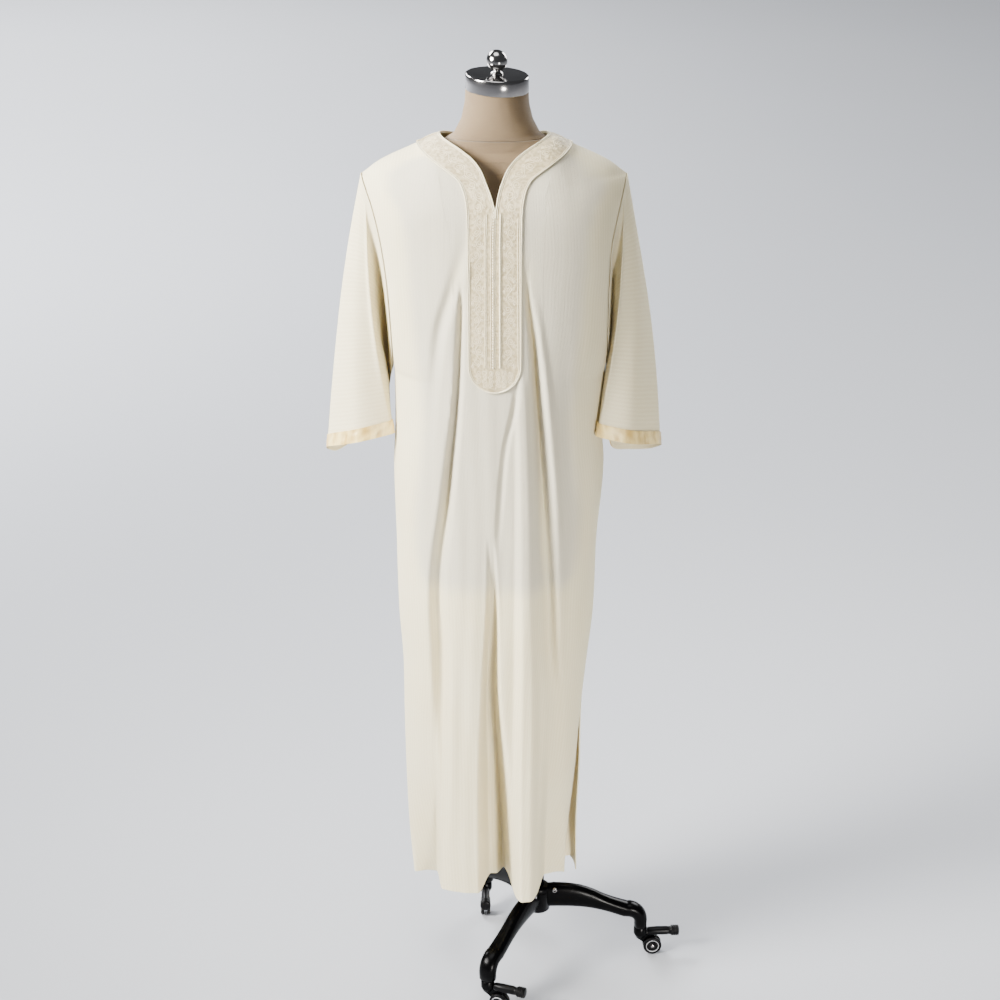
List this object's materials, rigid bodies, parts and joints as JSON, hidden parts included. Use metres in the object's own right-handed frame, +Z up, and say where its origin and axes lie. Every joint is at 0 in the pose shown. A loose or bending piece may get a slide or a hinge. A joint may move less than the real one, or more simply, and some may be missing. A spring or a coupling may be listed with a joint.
{
  "type": "embroidered robe on a dress form",
  "caption": "Long ivory robe with an embroidered slit neck, side slits and elbow sleeves, worn by a limbless dress form on a wheeled stand.",
  "frame": {"origin": "on the floor, under the middle of the whole part's box", "axes": "+Z up, -Y towards the robe's front, +X towards the viewer's right"},
  "size_m": [0.6597, 0.3927, 1.7582],
  "materials": {
    "ivory_cotton": "fine self stripe, matte",
    "cream_embroidery": "raised embroidery with a silky thread",
    "gold_satin": "satin",
    "beige_linen": "plain weave, matte",
    "chrome": "polished",
    "black_metal": "gloss",
    "black_iron": "gloss paint",
    "black_plastic": "gloss"
  },
  "bodies": {
    "robe_and_stand": {"front_panel": "ivory_cotton", "back_panel": "ivory_cotton", "sleeve_west": "ivory_cotton", "sleeve_east": "ivory_cotton", "cuff_west": "gold_satin", "cuff_east": "gold_satin", "neck_band_west": "cream_embroidery", "neck_band_east": "cream_embroidery", "neck_band_back": "cream_embroidery", "form_torso": "beige_linen", "form_base_plate": "black_metal", "neck_cap": "chrome", "neck_knob": "chrome", "pole": "black_metal", "hub": "black_iron", "leg_east": "black_iron", "leg_back": "black_iron", "leg_front": "black_iron"},
    "castor_body_east": {"castor_east": "black_metal"},
    "castor_body_back": {"castor_back": "black_metal"},
    "castor_body_front": {"castor_front": "black_metal"},
    "wheel_body_east": {"wheel_east": "black_plastic"},
    "wheel_body_back": {"wheel_back": "black_plastic"},
    "wheel_body_front": {"wheel_front": "black_plastic"},
    "pedal_body_east": {"pedal_east": "black_plastic"},
    "pedal_body_back": {"pedal_back": "black_plastic"},
    "pedal_body_front": {"pedal_front": "black_plastic"}
  },
  "joints": [
    {"name": "swivel_east", "type": "hinge", "parent": "robe_and_stand", "child": "castor_body_east", "pos_m": [0.25188, 0.01998, 0.06], "axis": [0, 0, 1], "continuous": true},
    {"name": "swivel_back", "type": "hinge", "parent": "robe_and_stand", "child": "castor_body_back", "pos_m": [-0.05101, 0.18443, 0.06], "axis": [0, 0, 1], "continuous": true},
    {"name": "swivel_front", "type": "hinge", "parent": "robe_and_stand", "child": "castor_body_front", "pos_m": [-0.04496, -0.16192, 0.06], "axis": [0, 0, 1], "continuous": true},
    {"name": "spin_east", "type": "hinge", "parent": "castor_body_east", "child": "wheel_body_east", "pos_m": [0.27585, 0.02124, 0.018], "axis": [-0.0523, 0.9986, 0], "continuous": true},
    {"name": "spin_back", "type": "hinge", "parent": "castor_body_back", "child": "wheel_body_back", "pos_m": [-0.05101, 0.16043, 0.018], "axis": [1, 0, 0], "continuous": true},
    {"name": "spin_front", "type": "hinge", "parent": "castor_body_front", "child": "wheel_body_front", "pos_m": [-0.02271, -0.17092, 0.018], "axis": [0.3746, 0.9272, 0], "continuous": true},
    {"name": "brake_east", "type": "hinge", "parent": "castor_body_east", "child": "pedal_body_east", "pos_m": [0.26536, 0.02069, 0.048], "axis": [-0.0523, 0.9986, 0], "range_deg": [0, 8]},
    {"name": "brake_back", "type": "hinge", "parent": "castor_body_back", "child": "pedal_body_back", "pos_m": [-0.05101, 0.17093, 0.048], "axis": [1, 0, 0], "range_deg": [0, 8]},
    {"name": "brake_front", "type": "hinge", "parent": "castor_body_front", "child": "pedal_body_front", "pos_m": [-0.03245, -0.16698, 0.048], "axis": [0.3746, 0.9272, 0], "range_deg": [0, 8]}
  ]
}
